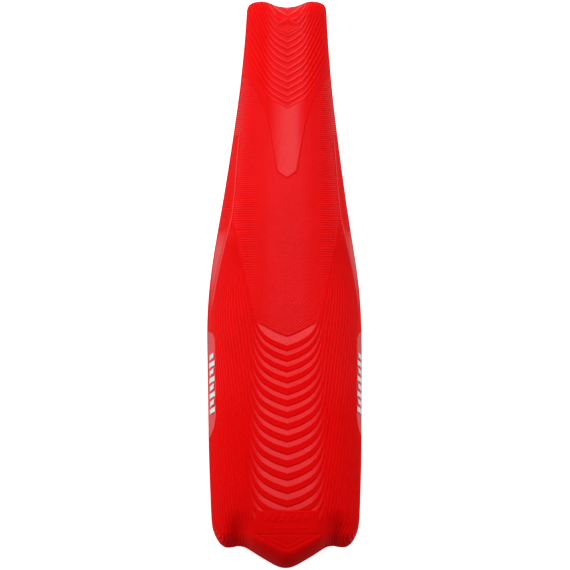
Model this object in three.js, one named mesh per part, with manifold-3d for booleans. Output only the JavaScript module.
// Off-road motorcycle seat: a one-piece moulded grip cover over a foam core on a ribbed plastic base,
// with the steel hooks, brackets, sleeves and rubber pads that hold it on the motorcycle.
// Millimetres. +Z up, +Y towards the tank (front), +X to the rider's right.
// The origin is the centre of the seat's bounding box in X and Y, at its lowest level in Z.
import * as THREE from "three";
import { mergeVertices } from "three/addons/utils/BufferGeometryUtils.js";
import Module from "manifold-3d";

const wasm = await Module();
wasm.setup();

// ---------- driving dimensions ----------
const GAP = 0.3; // clearance between touching pieces
const RIM = 3; // thickness of the base's edge flange
const SKIN = 2; // thickness of the moulded cover
const SEAT_Z = RIM + GAP; // where cover and foam start above the base's edge
const FLANGE_IN = 8; // how far the base's edge flange runs inwards
const SHELL = 2.5; // wall of the base
const BASE_SHARE = 0.46; // height of the base's dome as a share of the seat's height
const RIB_H = 7; // depth of the base's stiffening ribs
const RIB_T = 2;
const CROSS_RIBS = [-276, -234, -150, -100, -54, 10, 130, 166, 240];
const LONG_RIBS = [-20, 20];
const COLS = 16; // facets across a section
const MID_STATIONS = 18; // stations between the rolled ends
const FRONT_ROLL = 3; // facets over the front end's roll
const REAR_ROLL = 3;

// half width of the seat along its length: [Y, half width]
const HALF_WIDTH = [
  [-286.4, 86.5], [-280, 87.3], [-260, 88.4], [-240, 89.1], [-220, 89.8], [-200, 90.3], [-180, 90.6],
  [-140, 90.9], [-100, 91.3], [-60, 91.5], [-40, 91.2], [-20, 90.1], [0, 88.4], [20, 85.9], [40, 82.9],
  [60, 79.6], [80, 76.2], [100, 72.9], [120, 69.8], [140, 66.8], [160, 63.9], [180, 61.1], [200, 58.4],
  [220, 55.8], [240, 53.5], [260, 51.6], [280, 49.8], [300, 48.3], [321.9, 47.1],
];
// the front end in plan: [distance from the centre plane, Y], a shallow scoop between two rounded horns
const FRONT_EDGE = [
  [0, 327], [5.9, 327.5], [11.8, 328.7], [17.7, 330.9], [23.6, 333.1], [29.5, 334], [35.4, 333.5],
  [41.3, 331.7], [44.8, 328.9], [46.5, 325.2], [47.1, 321.9],
];
// the rear end in plan: a centre prow, a shallow scallop and a rounded lobe on each side
const REAR_EDGE = [
  [0, -333.8], [5.9, -332.9], [11.8, -330.7], [17.7, -327.5], [23.6, -324.1], [29.5, -320.6],
  [35.4, -316.9], [41.3, -313.1], [44.8, -310.9], [48.4, -309.1], [53.1, -308], [56.6, -307.8],
  [61.4, -308.7], [66.1, -309.4], [70.8, -309.1], [74.3, -307.5], [77.9, -304.2], [81.4, -299],
  [84.6, -292.2], [86.5, -286.4],
];
// side view: height of the top's centre line, and of the base's bottom edge
const TOP_Z = [
  [-334, 67], [-315, 71], [-300, 74.2], [-280, 77.5], [-260, 80], [-183, 84], [-65, 85.5], [32, 87],
  [100, 90], [160, 94], [218, 100], [260, 106], [300, 112.5], [334, 118],
];
const EDGE_Z = [
  [-334, 27], [-300, 27], [-260, 25], [-183, 19], [-130, 13], [-65, 5.5], [-30, 1.6], [0, 0], [32, 0],
  [60, 3.5], [100, 15], [160, 35], [218, 54], [260, 67], [300, 78], [334, 86],
];
// valley on each side of the rear prow
const SCALLOP = { x: 58, depth: 13, width: 12, from: -262, to: -306 };

// side mounts: a bracket, a rubber grommet and a flanged sleeve on each side
const BRACKET = { y: -200, z: 13, x: 60, t: 2.5, tabR: 13, hole: 16, flangeIn: 37, flangeZ: 37.2, halfLen: 28, boltX: 48, boltDY: 16 };
const SLEEVE = { outer: 12, bore: 8.6, flange: 20, flangeT: 1.5 };
const BOLT = { d: 6, hole: 6.6, head: 14, flangeT: 1.2, af: 10, headH: 5 };
const BOSS = { d: 18, top: 52.5 };
// front hook and cross-tube hook
const HOOK = { z: 79.2, t: 2.5, step: 3, half: 18, back: 258, front: 322, slot: 11, slotEnd: 300, rivetY: 271, rivetX: 12 };
const JHOOK = { half: 17, t: 2.5, z: 37.2, y0: 60, y1: 94.5, drop: 20, y2: 117, rivetY: 72, rivetX: 9 };
// rubber pads under the base: [name, x, y, z of the boss's face]
const PADS = [
  ["front", 21, 205, 62],
  ["mid", 47, -24, 26],
  ["rear", 47, -256, 37],
];

// ---------- curves ----------
function curve(rows) {
  const n = rows.length;
  const x = rows.map((r) => r[0]);
  const y = rows.map((r) => r[1]);
  const d = x.map((_, i) => {
    if (i === 0) return (y[1] - y[0]) / (x[1] - x[0]);
    if (i === n - 1) return (y[n - 1] - y[n - 2]) / (x[n - 1] - x[n - 2]);
    const h0 = x[i] - x[i - 1];
    const h1 = x[i + 1] - x[i];
    const s0 = (y[i] - y[i - 1]) / h0;
    const s1 = (y[i + 1] - y[i]) / h1;
    return s0 * s1 <= 0 ? 0 : (s0 * h1 + s1 * h0) / (h0 + h1);
  });
  return (v) => {
    if (v <= x[0]) return y[0];
    if (v >= x[n - 1]) return y[n - 1];
    let i = 0;
    while (v > x[i + 1]) i++;
    const h = x[i + 1] - x[i];
    const t = (v - x[i]) / h;
    const t2 = t * t;
    const t3 = t2 * t;
    return (2 * t3 - 3 * t2 + 1) * y[i] + (t3 - 2 * t2 + t) * h * d[i] + (3 * t2 - 2 * t3) * y[i + 1] + (t3 - t2) * h * d[i + 1];
  };
}
const halfWidth = curve(HALF_WIDTH);
const frontEdge = curve(FRONT_EDGE);
const rearEdge = curve(REAR_EDGE);
const topZ = curve(TOP_Z);
const edgeZ = curve(EDGE_Z);
const W_FRONT = 47.1;
const W_REAR = 86.5;
const smooth = (a, b, v) => {
  const t = Math.min(1, Math.max(0, (v - a) / (b - a)));
  return t * t * (3 - 2 * t);
};

// Cross-section: a flat-topped arch from the centre (0, 1) to the edge (1, 0), as a cubic Bezier.
function arch(t, flat, side) {
  const u = 1 - t;
  const e = 0.955;
  return [3 * u * u * t * flat + 3 * u * t * t * e + t * t * t, u * u * u + 3 * u * u * t + 3 * u * t * t * side];
}
// Bezier parameters evenly spaced along the arch
function archSteps(n) {
  const N = 400;
  const len = [0];
  let p = arch(0, 0.78, 0.78);
  for (let i = 1; i <= N; i++) {
    const q = arch(i / N, 0.78, 0.78);
    len.push(len[i - 1] + Math.hypot(q[0] - p[0], (q[1] - p[1]) * 0.85));
    p = q;
  }
  return Array.from({ length: n + 1 }, (_, k) => {
    const want = (len[N] * k) / n;
    let i = 0;
    while (i < N - 1 && len[i + 1] < want) i++;
    return k === n ? 1 : (i + (want - len[i]) / (len[i + 1] - len[i])) / N;
  });
}
const STEPS = archSteps(COLS / 2);
const flatness = (y) => 0.8 - 0.09 * smooth(120, 300, y);

// One point of a dome-shaped surface inside the seat's outline.
// o: inset from the outline, base and height functions of Y, roll radii of the ends, valley share.
function domePoint(o, col, station) {
  const j = col - COLS / 2;
  const t = STEPS[Math.abs(j)];
  const sign = Math.sign(j);
  const xEnd = arch(t, 0.78, 0.78)[0];
  const yF = frontEdge(Math.min(W_FRONT, arch(t, 0.71, 0.71)[0] * W_FRONT)) - o.inset * 1.08;
  const yR = rearEdge(Math.min(W_REAR, arch(t, 0.8, 0.8)[0] * W_REAR)) + o.inset * 1.15;
  const rf = o.frontRoll;
  const rr = o.rearRoll(xEnd);
  let y;
  let roll = 1;
  if (station <= REAR_ROLL) {
    const a = ((station / REAR_ROLL) * Math.PI) / 2;
    y = yR + rr * (1 - Math.cos(a));
    roll = Math.sin(a);
  } else if (station >= REAR_ROLL + MID_STATIONS) {
    const a = (((REAR_ROLL + MID_STATIONS + FRONT_ROLL - station) / FRONT_ROLL) * Math.PI) / 2;
    y = yF - rf * (1 - Math.cos(a));
    roll = Math.sin(a);
  } else {
    const k = (station - REAR_ROLL) / MID_STATIONS;
    y = (yR + rr) * (1 - k) + (yF - rf) * k;
  }
  const fl = flatness(y);
  const [xn, zn] = arch(t, fl, fl);
  const x = xn * (halfWidth(y) - o.inset);
  let h = o.height(y) * zn;
  if (o.valley) {
    const g = Math.exp(-(((x - SCALLOP.x) / SCALLOP.width) ** 2));
    h -= Math.min(h * 0.6, SCALLOP.depth * o.valley * g * smooth(SCALLOP.from, SCALLOP.to, y));
  }
  return [sign * x, y, edgeZ(y) + o.base + h * roll];
}
const STATIONS = REAR_ROLL + MID_STATIONS + FRONT_ROLL;
const domeGrid = (o) => Array.from({ length: STATIONS + 1 }, (_, i) => Array.from({ length: COLS + 1 }, (_, j) => domePoint(o, j, i)));

// the grid's edge as a loop, counter-clockwise from above
function loopOf(grid) {
  const m = grid.length - 1;
  const n = grid[0].length - 1;
  const out = [];
  for (let j = 0; j < n; j++) out.push(grid[0][j]);
  for (let i = 0; i < m; i++) out.push(grid[i][n]);
  for (let j = n; j > 0; j--) out.push(grid[m][j]);
  for (let i = m; i > 0; i--) out.push(grid[i][0]);
  return out;
}
// a loop at an inset and a height above the base's edge
function edgeLoop(inset, up) {
  const flat = { inset, base: up, height: () => 0, frontRoll: 15, rearRoll: () => 26, valley: 0 };
  return loopOf(domeGrid(flat));
}

// A closed shell: a dome facing up, a chain of loops, and a dome facing down.
function shell(upper, loops, lower) {
  const pos = [];
  const idx = [];
  const addGrid = (g, flip) => {
    const start = pos.length / 3;
    const n = g[0].length;
    for (const row of g) for (const p of row) pos.push(...p);
    for (let i = 0; i + 1 < g.length; i++)
      for (let j = 0; j + 1 < n; j++) {
        const a = start + i * n + j;
        const b = a + 1;
        const c = b + n;
        const d = a + n;
        if (flip) idx.push(a, c, b, a, d, c);
        else idx.push(a, b, c, a, c, d);
      }
  };
  addGrid(upper, false);
  const chain = [loopOf(upper), ...loops, loopOf(lower)];
  for (let k = 0; k + 1 < chain.length; k++) {
    const start = pos.length / 3;
    const n = chain[k].length;
    for (const p of chain[k]) pos.push(...p);
    for (const p of chain[k + 1]) pos.push(...p);
    for (let i = 0; i < n; i++) {
      const a = start + i;
      const a2 = start + ((i + 1) % n);
      idx.push(a, a + n, a2 + n, a, a2 + n, a2);
    }
  }
  addGrid(lower, true);
  const g = new THREE.BufferGeometry();
  g.setAttribute("position", new THREE.Float32BufferAttribute(pos, 3));
  g.setIndex(idx);
  return g;
}

// ---------- booleans ----------
function toSolid(geometry) {
  const g = geometry.clone();
  g.deleteAttribute("normal");
  g.deleteAttribute("uv");
  const merged = mergeVertices(g, 1e-3);
  return new wasm.Manifold(new wasm.Mesh({ numProp: 3, vertProperties: merged.attributes.position.array, triVerts: new Uint32Array(merged.index.array) }));
}
function toGeometry(solid, tolerance = 0.01) {
  const m = solid.simplify(tolerance).getMesh();
  const pos = new Float32Array(m.numVert * 3);
  for (let i = 0; i < m.numVert; i++) for (let k = 0; k < 3; k++) pos[i * 3 + k] = m.vertProperties[i * m.numProp + k];
  const g = new THREE.BufferGeometry();
  g.setAttribute("position", new THREE.BufferAttribute(pos, 3));
  g.setIndex([...m.triVerts]);
  return g;
}
const boxSolid = (x0, x1, y0, y1, z0, z1) =>
  toSolid(new THREE.BoxGeometry(x1 - x0, y1 - y0, z1 - z0).translate((x0 + x1) / 2, (y0 + y1) / 2, (z0 + z1) / 2));
const rod = (r, z0, z1, x, y, seg = 16) => {
  const g = new THREE.CylinderGeometry(r, r, z1 - z0, seg).rotateX(Math.PI / 2);
  return toSolid(g.translate(x, y, (z0 + z1) / 2));
};
// a solid extruded along X from a (Y, Z) outline
function alongX(points, x0, x1) {
  const s = new THREE.Shape(points.map((p) => new THREE.Vector2(p[0], p[1])));
  const g = new THREE.ExtrudeGeometry(s, { depth: x1 - x0, bevelEnabled: false, curveSegments: 6 });
  // shape x -> Y, shape y -> Z, depth -> X
  g.applyMatrix4(new THREE.Matrix4().set(0, 0, 1, x0, 1, 0, 0, 0, 0, 1, 0, 0, 0, 0, 0, 1));
  return g;
}
// a turned piece: profile of [radius, height], about an axis along Z
function turned(profile, seg = 20) {
  return new THREE.LatheGeometry(profile.map((p) => new THREE.Vector2(p[0], p[1])), seg).rotateX(Math.PI / 2);
}

const root = new THREE.Group();
const paint = {
  cover: new THREE.MeshStandardMaterial({ color: 0xd8121a, roughness: 0.55, metalness: 0 }),
  foam: new THREE.MeshStandardMaterial({ color: 0xc9bfa6, roughness: 0.95, metalness: 0 }),
  base: new THREE.MeshStandardMaterial({ color: 0x151515, roughness: 0.6, metalness: 0 }),
  steel: new THREE.MeshStandardMaterial({ color: 0xb9bcc0, roughness: 0.35, metalness: 1 }),
  rubber: new THREE.MeshStandardMaterial({ color: 0x0c0c0c, roughness: 0.85, metalness: 0 }),
  graphic: new THREE.MeshStandardMaterial({ color: 0xf4f4f4, roughness: 0.5, metalness: 0 }),
};
function piece(name, geometry, material) {
  const mesh = new THREE.Mesh(geometry, paint[material]);
  mesh.name = name;
  root.add(mesh);
  return mesh;
}

// ---------- cover, foam and base ----------
const height = (y) => topZ(y) - edgeZ(y);
const rearRoll = (xn) => 19 + 2 * Math.exp(-((xn / 0.42) ** 2));
const outer = (inset) => ({
  inset,
  base: SEAT_Z,
  height: (y) => height(y) - SEAT_Z - inset,
  frontRoll: 15 - inset,
  rearRoll: (xn) => rearRoll(xn) - inset,
  valley: 1,
});
const dome = (inset, base, extra) => ({
  inset,
  base,
  height: (y) => height(y) * BASE_SHARE + extra,
  frontRoll: 12,
  rearRoll: () => 18,
  valley: 0.3,
});

piece("seat_cover", shell(domeGrid(outer(0)), [], domeGrid(outer(SKIN))), "cover");

// where the base carries screws, hooks and pads it has flat-faced bosses
const bossCuts = []; // spaces the foam leaves for bosses and nuts
let base = toSolid(shell(domeGrid(dome(FLANGE_IN, RIM, 0)), [edgeLoop(GAP, RIM), edgeLoop(GAP, 0)], domeGrid(dome(FLANGE_IN + SHELL, 0, RIM - SHELL))));

// stiffening ribs: their tops lie inside the base's wall, their undersides RIB_H below it
const wallZ = (x, y) => {
  const fl = flatness(y);
  const W = halfWidth(y) - FLANGE_IN - SHELL / 2;
  let [lo, hi] = [0, 1];
  for (let k = 0; k < 30; k++) {
    const mid = (lo + hi) / 2;
    if (arch(mid, fl, fl)[0] * W < Math.abs(x)) lo = mid;
    else hi = mid;
  }
  return edgeZ(y) + RIM - SHELL / 2 + height(y) * BASE_SHARE * arch(lo, fl, fl)[1];
};
// everything under the middle of the base's wall
const wallGrid = domeGrid(dome(FLANGE_IN + SHELL / 2, 0, RIM - SHELL / 2));
const belowWall = toSolid(shell(wallGrid, [], wallGrid.map((row) => row.map((p) => [p[0], p[1], -40]))));
// flat seats for the rivets' set heads, a little proud of the wall
HOOK.top = Math.ceil(wallZ(HOOK.rivetX, HOOK.rivetY) + SHELL / 2 + 1.6);
JHOOK.top = Math.ceil(wallZ(JHOOK.rivetX, JHOOK.rivetY) + SHELL / 2 + 0.8);
for (const y of CROSS_RIBS) {
  const W = (halfWidth(y) - FLANGE_IN) * 0.9;
  const xs = Array.from({ length: 9 }, (_, i) => ((i - 4) / 4) * W);
  const pts = xs.map((x) => [x, wallZ(x, y) - 0.4]);
  for (const x of [...xs].reverse()) pts.push([x * 0.97, wallZ(x, y) - SHELL / 2 - RIB_H]);
  const shape = new THREE.Shape(pts.map((p) => new THREE.Vector2(p[0], p[1])));
  const rib = new THREE.ExtrudeGeometry(shape, { depth: RIB_T, bevelEnabled: false }).rotateX(Math.PI / 2);
  base = base.add(toSolid(rib.translate(0, y + RIB_T / 2, 0)));
}
for (const x of LONG_RIBS) {
  const ys = Array.from({ length: 10 }, (_, i) => -292 + (538 * i) / 9);
  const pts = ys.map((y) => [y, wallZ(x, y) - 0.5]);
  for (const y of [...ys].reverse()) pts.push([y, wallZ(x, y) - SHELL / 2 - RIB_H + 0.6]);
  base = base.add(toSolid(alongX(pts, x - RIB_T / 2, x + RIB_T / 2)));
}

for (const s of [-1, 1]) {
  for (const k of [-1, 1]) {
    const x = s * BRACKET.boltX;
    const y = BRACKET.y + k * BRACKET.boltDY;
    base = base.add(rod(BOSS.d / 2, BRACKET.flangeZ + BRACKET.t + GAP, BOSS.top, x, y));
    bossCuts.push(rod(BOSS.d / 2 + 0.4, 40, BOSS.top + 9.5, x, y));
  }
}
for (const s of [-1, 1]) {
  for (const [, x, y, z] of PADS) base = base.add(boxSolid(s * x - 15, s * x + 15, y - 9, y + 9, z, z + 40).intersect(belowWall));
  base = base.add(rod(7, HOOK.z + HOOK.t + GAP, HOOK.top, s * HOOK.rivetX, HOOK.rivetY, 12));
  base = base.add(rod(7, JHOOK.z + JHOOK.t + GAP, JHOOK.top, s * JHOOK.rivetX, JHOOK.rivetY, 12));
  bossCuts.push(rod(7.4, HOOK.z, HOOK.top + 0.4, s * HOOK.rivetX, HOOK.rivetY, 12), rod(4.5, HOOK.z, HOOK.top + 2.6, s * HOOK.rivetX, HOOK.rivetY, 12));
  bossCuts.push(rod(7.4, JHOOK.z, JHOOK.top + 0.4, s * JHOOK.rivetX, JHOOK.rivetY, 12), rod(4.5, JHOOK.z, JHOOK.top + 2.6, s * JHOOK.rivetX, JHOOK.rivetY, 12));
}
// holes for bolts, rivets and the pads' stems
for (const s of [-1, 1]) {
  for (const k of [-1, 1]) base = base.subtract(rod(BOLT.hole / 2, 30, 60, s * BRACKET.boltX, BRACKET.y + k * BRACKET.boltDY, 12));
  for (const [, x, y, z] of PADS) base = base.subtract(rod(3.3, z - 1, z + 5.2, s * x, y, 12));
  base = base.subtract(rod(2.3, 76, 100, s * HOOK.rivetX, HOOK.rivetY, 10));
  base = base.subtract(rod(2.3, 36, 70, s * JHOOK.rivetX, JHOOK.rivetY, 10));
}
piece("seat_base", toGeometry(base, 0.05), "base");

let foam = toSolid(shell(domeGrid(outer(SKIN + GAP)), [], domeGrid(dome(FLANGE_IN - GAP, SEAT_Z, GAP))));
for (const c of bossCuts) foam = foam.subtract(c);
piece("foam_core", toGeometry(foam), "foam");

// ---------- side mounts ----------
for (const s of [-1, 1]) {
  const side = s < 0 ? "left" : "right";
  const b = BRACKET;
  // pressed bracket: a flange under the base's bosses and a tab that hangs down with a round end
  const tab = [];
  for (let i = 0; i <= 12; i++) {
    const a = Math.PI + (Math.PI * i) / 12;
    tab.push([b.y + Math.cos(a) * b.tabR, b.z + Math.sin(a) * b.tabR]);
  }
  tab.push([b.y + b.tabR + 3, b.flangeZ + b.t], [b.y - b.tabR - 3, b.flangeZ + b.t]);
  const x0 = s < 0 ? -b.x - b.t : b.x;
  let bracket = toSolid(alongX(tab, x0, x0 + b.t));
  const fx0 = s < 0 ? -b.x - b.t : b.flangeIn;
  const fx1 = s < 0 ? -b.flangeIn : b.x + b.t;
  const fl = new THREE.Shape();
  const r = 5;
  const [ya, yb] = [b.y - b.halfLen, b.y + b.halfLen];
  fl.moveTo(fx0 + r, ya).lineTo(fx1 - r, ya).quadraticCurveTo(fx1, ya, fx1, ya + r).lineTo(fx1, yb - r).quadraticCurveTo(fx1, yb, fx1 - r, yb);
  fl.lineTo(fx0 + r, yb).quadraticCurveTo(fx0, yb, fx0, yb - r).lineTo(fx0, ya + r).quadraticCurveTo(fx0, ya, fx0 + r, ya);
  bracket = bracket.add(toSolid(new THREE.ExtrudeGeometry(fl, { depth: b.t, bevelEnabled: false, curveSegments: 3 }).translate(0, 0, b.flangeZ)));
  // stiffening bead in the corner
  bracket = bracket.add(toSolid(alongX([[b.y - 4, b.flangeZ], [b.y + 4, b.flangeZ], [b.y + 4, b.flangeZ - 0.01], [b.y + 3, b.flangeZ - 9], [b.y - 3, b.flangeZ - 9], [b.y - 4, b.flangeZ - 0.01]], s < 0 ? -b.x - 0.5 : b.x - 2.2, s < 0 ? -b.x + 2.2 : b.x + 0.5)));
  bracket = bracket.subtract(toSolid(new THREE.CylinderGeometry(b.hole / 2, b.hole / 2, 10, 24).rotateZ(Math.PI / 2).translate(s * (b.x + b.t / 2), b.y, b.z)));
  for (const k of [-1, 1]) bracket = bracket.subtract(rod(BOLT.hole / 2, 30, 45, s * b.boltX, b.y + k * b.boltDY, 12));
  piece("bracket_" + side, toGeometry(bracket), "steel");

  // rubber grommet in the tab's hole, then the steel sleeve in the grommet
  const h = b.t / 2;
  const grommet = turned([[6.3, -h - 2.3], [9.6, -h - 2.3], [10, -h - 1.9], [10, -h - GAP], [7.7, -h - GAP], [7.7, h + GAP], [10, h + GAP], [10, h + 1.9], [9.6, h + 2.3], [6.3, h + 2.3], [6.3, -h - 2.3]]);
  const outward = new THREE.Matrix4().makeRotationY((s * Math.PI) / 2);
  grommet.applyMatrix4(outward);
  const gm = piece("grommet_" + side, grommet, "rubber");
  gm.position.set(s * (b.x + h), b.y, b.z);
  const l = h + 2.3 + GAP;
  const R = SLEEVE.outer / 2;
  const sleeve = turned([[SLEEVE.bore / 2, -l - 1], [R, -l - 1], [R, l], [SLEEVE.flange / 2, l], [SLEEVE.flange / 2, l + SLEEVE.flangeT], [SLEEVE.bore / 2, l + SLEEVE.flangeT], [SLEEVE.bore / 2, -l - 1]]);
  sleeve.applyMatrix4(outward);
  const sm = piece("sleeve_" + side, sleeve, "steel");
  sm.position.set(s * (b.x + h), b.y, b.z);

  for (const k of [-1, 1]) {
    const tag = side + (k < 0 ? "_rear" : "_front");
    const x = s * b.boltX;
    const y = b.y + k * b.boltDY;
    // flange bolt up through bracket and boss
    const under = b.flangeZ - GAP;
    const bolt = rod(BOLT.d / 2, under - 3, BOSS.top + 8, x, y, 12)
      .add(rod(BOLT.head / 2, under - BOLT.flangeT, under, x, y, 16))
      .add(rod(BOLT.af / Math.sqrt(3), under - BOLT.flangeT - BOLT.headH, under - BOLT.flangeT + 0.2, x, y, 6));
    piece("bracket_bolt_" + tag, toGeometry(bolt), "steel");
    // flanged nut on the base's top, inside the foam
    const z = BOSS.top + GAP;
    const nut = turned([[BOLT.hole / 2, z], [8, z], [8, z + 1.5], [5, z + 1.5], [5, z + 7.5], [BOLT.hole / 2, z + 7.5], [BOLT.hole / 2, z]], 14);
    const nm = piece("tee_nut_" + tag, nut, "steel");
    nm.position.set(x, y, 0);
  }
}

// ---------- front hook: a plate with a step down to a fork, open in front for the tank's collar ----------
{
  const s = new THREE.Shape();
  const { half, back, front, slot, slotEnd, z, t, step } = HOOK;
  const w = slot / 2;
  s.moveTo(-half + 5, back).lineTo(half - 5, back).quadraticCurveTo(half, back, half, back + 5).lineTo(half, front - 7);
  s.quadraticCurveTo(half, front, half - 7, front).lineTo(w + 2, front).lineTo(w, front - 3).lineTo(w, slotEnd);
  s.absarc(0, slotEnd, w, 0, -Math.PI, true);
  s.lineTo(-w, front - 3).lineTo(-w - 2, front).lineTo(-half + 7, front).quadraticCurveTo(-half, front, -half, front - 7).lineTo(-half, back + 5).quadraticCurveTo(-half, back, -half + 5, back);
  const outline = toSolid(new THREE.ExtrudeGeometry(s, { depth: t + step + 4, bevelEnabled: false, curveSegments: 6 }).translate(0, 0, z - step - 2));
  const side = [[back - 1, z], [282, z], [286, z - step], [front + 1, z - step], [front + 1, z - step + t], [286.6, z - step + t], [282.6, z + t], [back - 1, z + t]];
  let plate = outline.intersect(toSolid(alongX(side, -half - 1, half + 1)));
  for (const k of [-1, 1]) plate = plate.subtract(rod(2.3, z - 2, z + 5, k * HOOK.rivetX, HOOK.rivetY, 12));
  piece("front_hook_plate", toGeometry(plate), "steel");
}
// ---------- hook for the frame's cross tube ----------
{
  const { half, t, z, y0, y1, drop, y2 } = JHOOK;
  const pts = [[y0, z], [y1 - t - 1.5, z], [y1 - t, z - 1.5], [y1 - t, drop + 1.5], [y1 - t + 1.5, drop], [y2 - 2, drop], [y2 + 2, drop - 1.5], [y2 + 2.6, drop + 0.9], [y2 - 1.6, drop + t], [y1 + 1, drop + t], [y1, drop + t + 1], [y1, z + t - 1], [y1 - 1, z + t], [y0, z + t]];
  let hook = toSolid(alongX(pts, -half, half));
  for (const k of [-1, 1]) hook = hook.subtract(rod(2.3, z - 3, z + 6, k * JHOOK.rivetX, JHOOK.rivetY, 12));
  piece("cross_tube_hook", toGeometry(hook), "steel");
}
// rivets: a domed head below the plate, a shank and a set head on the base's top
function rivet(zPlate, zTop) {
  const lo = zPlate - GAP;
  const hi = zTop + GAP;
  return turned([[0, lo - 1.6], [2.6, lo - 1.5], [4.2, lo - 0.8], [4.5, lo], [2, lo], [2, hi], [3.8, hi], [3.6, hi + 1], [2, hi + 1.5], [0, hi + 1.6]], 12);
}
for (const s of [-1, 1]) {
  const side = s < 0 ? "left" : "right";
  piece("front_hook_rivet_" + side, rivet(HOOK.z, HOOK.top), "steel").position.set(s * HOOK.rivetX, HOOK.rivetY, 0);
  piece("cross_tube_hook_rivet_" + side, rivet(JHOOK.z, JHOOK.top), "steel").position.set(s * JHOOK.rivetX, JHOOK.rivetY, 0);
}

// ---------- rubber pads: a block with a stem pushed into the base's boss ----------
for (const s of [-1, 1])
  for (const [place, x, y, z] of PADS) {
    const shape = new THREE.Shape();
    const [a, b, r] = [13, 7.5, 4];
    shape.moveTo(-a + r, -b).lineTo(a - r, -b).quadraticCurveTo(a, -b, a, -b + r).lineTo(a, b - r).quadraticCurveTo(a, b, a - r, b);
    shape.lineTo(-a + r, b).quadraticCurveTo(-a, b, -a, b - r).lineTo(-a, -b + r).quadraticCurveTo(-a, -b, -a + r, -b);
    const block = toSolid(new THREE.ExtrudeGeometry(shape, { depth: 7, bevelEnabled: false, curveSegments: 3 }).translate(s * x, y, z - GAP - 7));
    piece("pad_" + place + "_" + (s < 0 ? "left" : "right"), toGeometry(block.add(rod(3, z - GAP - 1, z + 4.5, s * x, y, 12))), "rubber");
  }

// ---------- side graphics: a thin film on each flank, GAP off the cover and parallel to it ----------
{
  const near = domeGrid(outer(-GAP));
  const far = domeGrid(outer(-GAP - 0.8));
  const rows = near.map((row, i) => i).filter((i) => near[i][COLS][1] > -200 && near[i][COLS][1] < -30);
  const cut = (g, j0, j1) => rows.map((i) => g[i].slice(j0, j1 + 1));
  for (const s of [-1, 1]) {
    const [j0, j1] = s < 0 ? [1, 3] : [COLS - 3, COLS - 1];
    const strip = toSolid(shell(cut(far, j0, j1), [], cut(near, j0, j1)));
    // a slanted block between two lengths and two heights
    const window = toSolid(alongX([[-158, 27], [-88, 24], [-77, 46], [-147, 49]], s < 0 ? -110 : 60, s < 0 ? -60 : 110));
    piece("side_graphic_" + (s < 0 ? "left" : "right"), toGeometry(strip.intersect(window)), "graphic");
  }
}

export default root;
